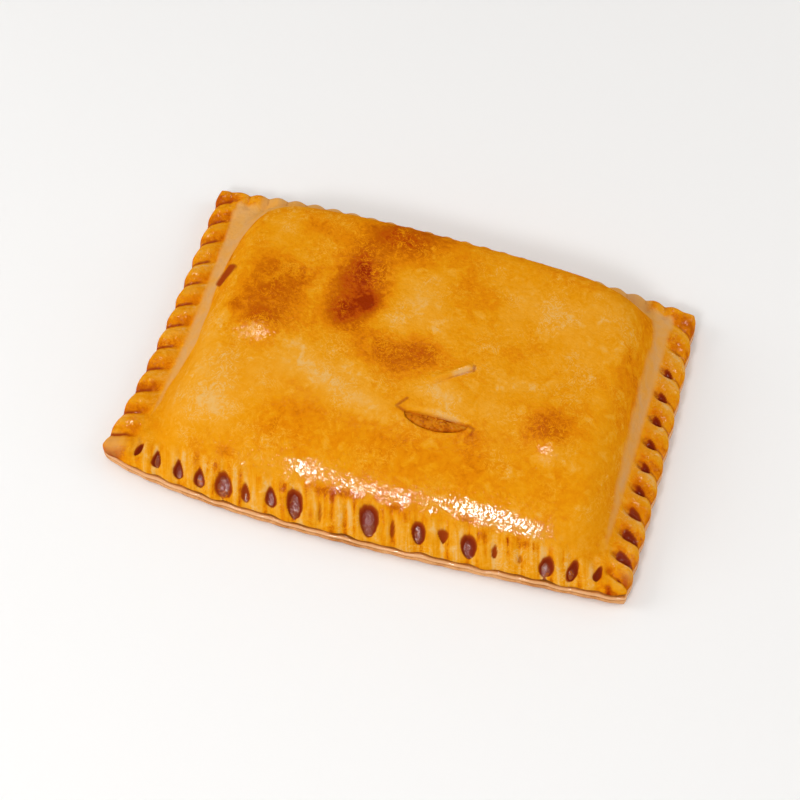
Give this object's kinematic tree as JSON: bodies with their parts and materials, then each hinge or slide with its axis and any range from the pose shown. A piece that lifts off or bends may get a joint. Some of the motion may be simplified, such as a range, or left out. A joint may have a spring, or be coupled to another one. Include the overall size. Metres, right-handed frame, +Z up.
{
  "type": "meat empanada",
  "caption": "Rectangular baked meat empanada: two dough sheets crimped together round a filling, with a domed glazed lid and a vent slit.",
  "frame": {"origin": "centre of the parcel's outline box, on the surface that it rests on", "axes": "+X along the long side, to the right seen from the front; +Y to the back; +Z up through the lid; the front edge, where the lower sheet shows, is at -Y"},
  "size_m": [0.1618, 0.1136, 0.0253],
  "materials": {
    "glazed_crust": "golden egg-glazed baked dough, satin gloss, with browned spots",
    "pale_crust": "unglazed baked dough, pale tan, matt",
    "meat_filling": "moist orange-brown meat and onion"
  },
  "bodies": {
    "root": {"top_crust": "glazed_crust", "bottom_crust": "pale_crust", "filling": "meat_filling"}
  },
  "joints": []
}
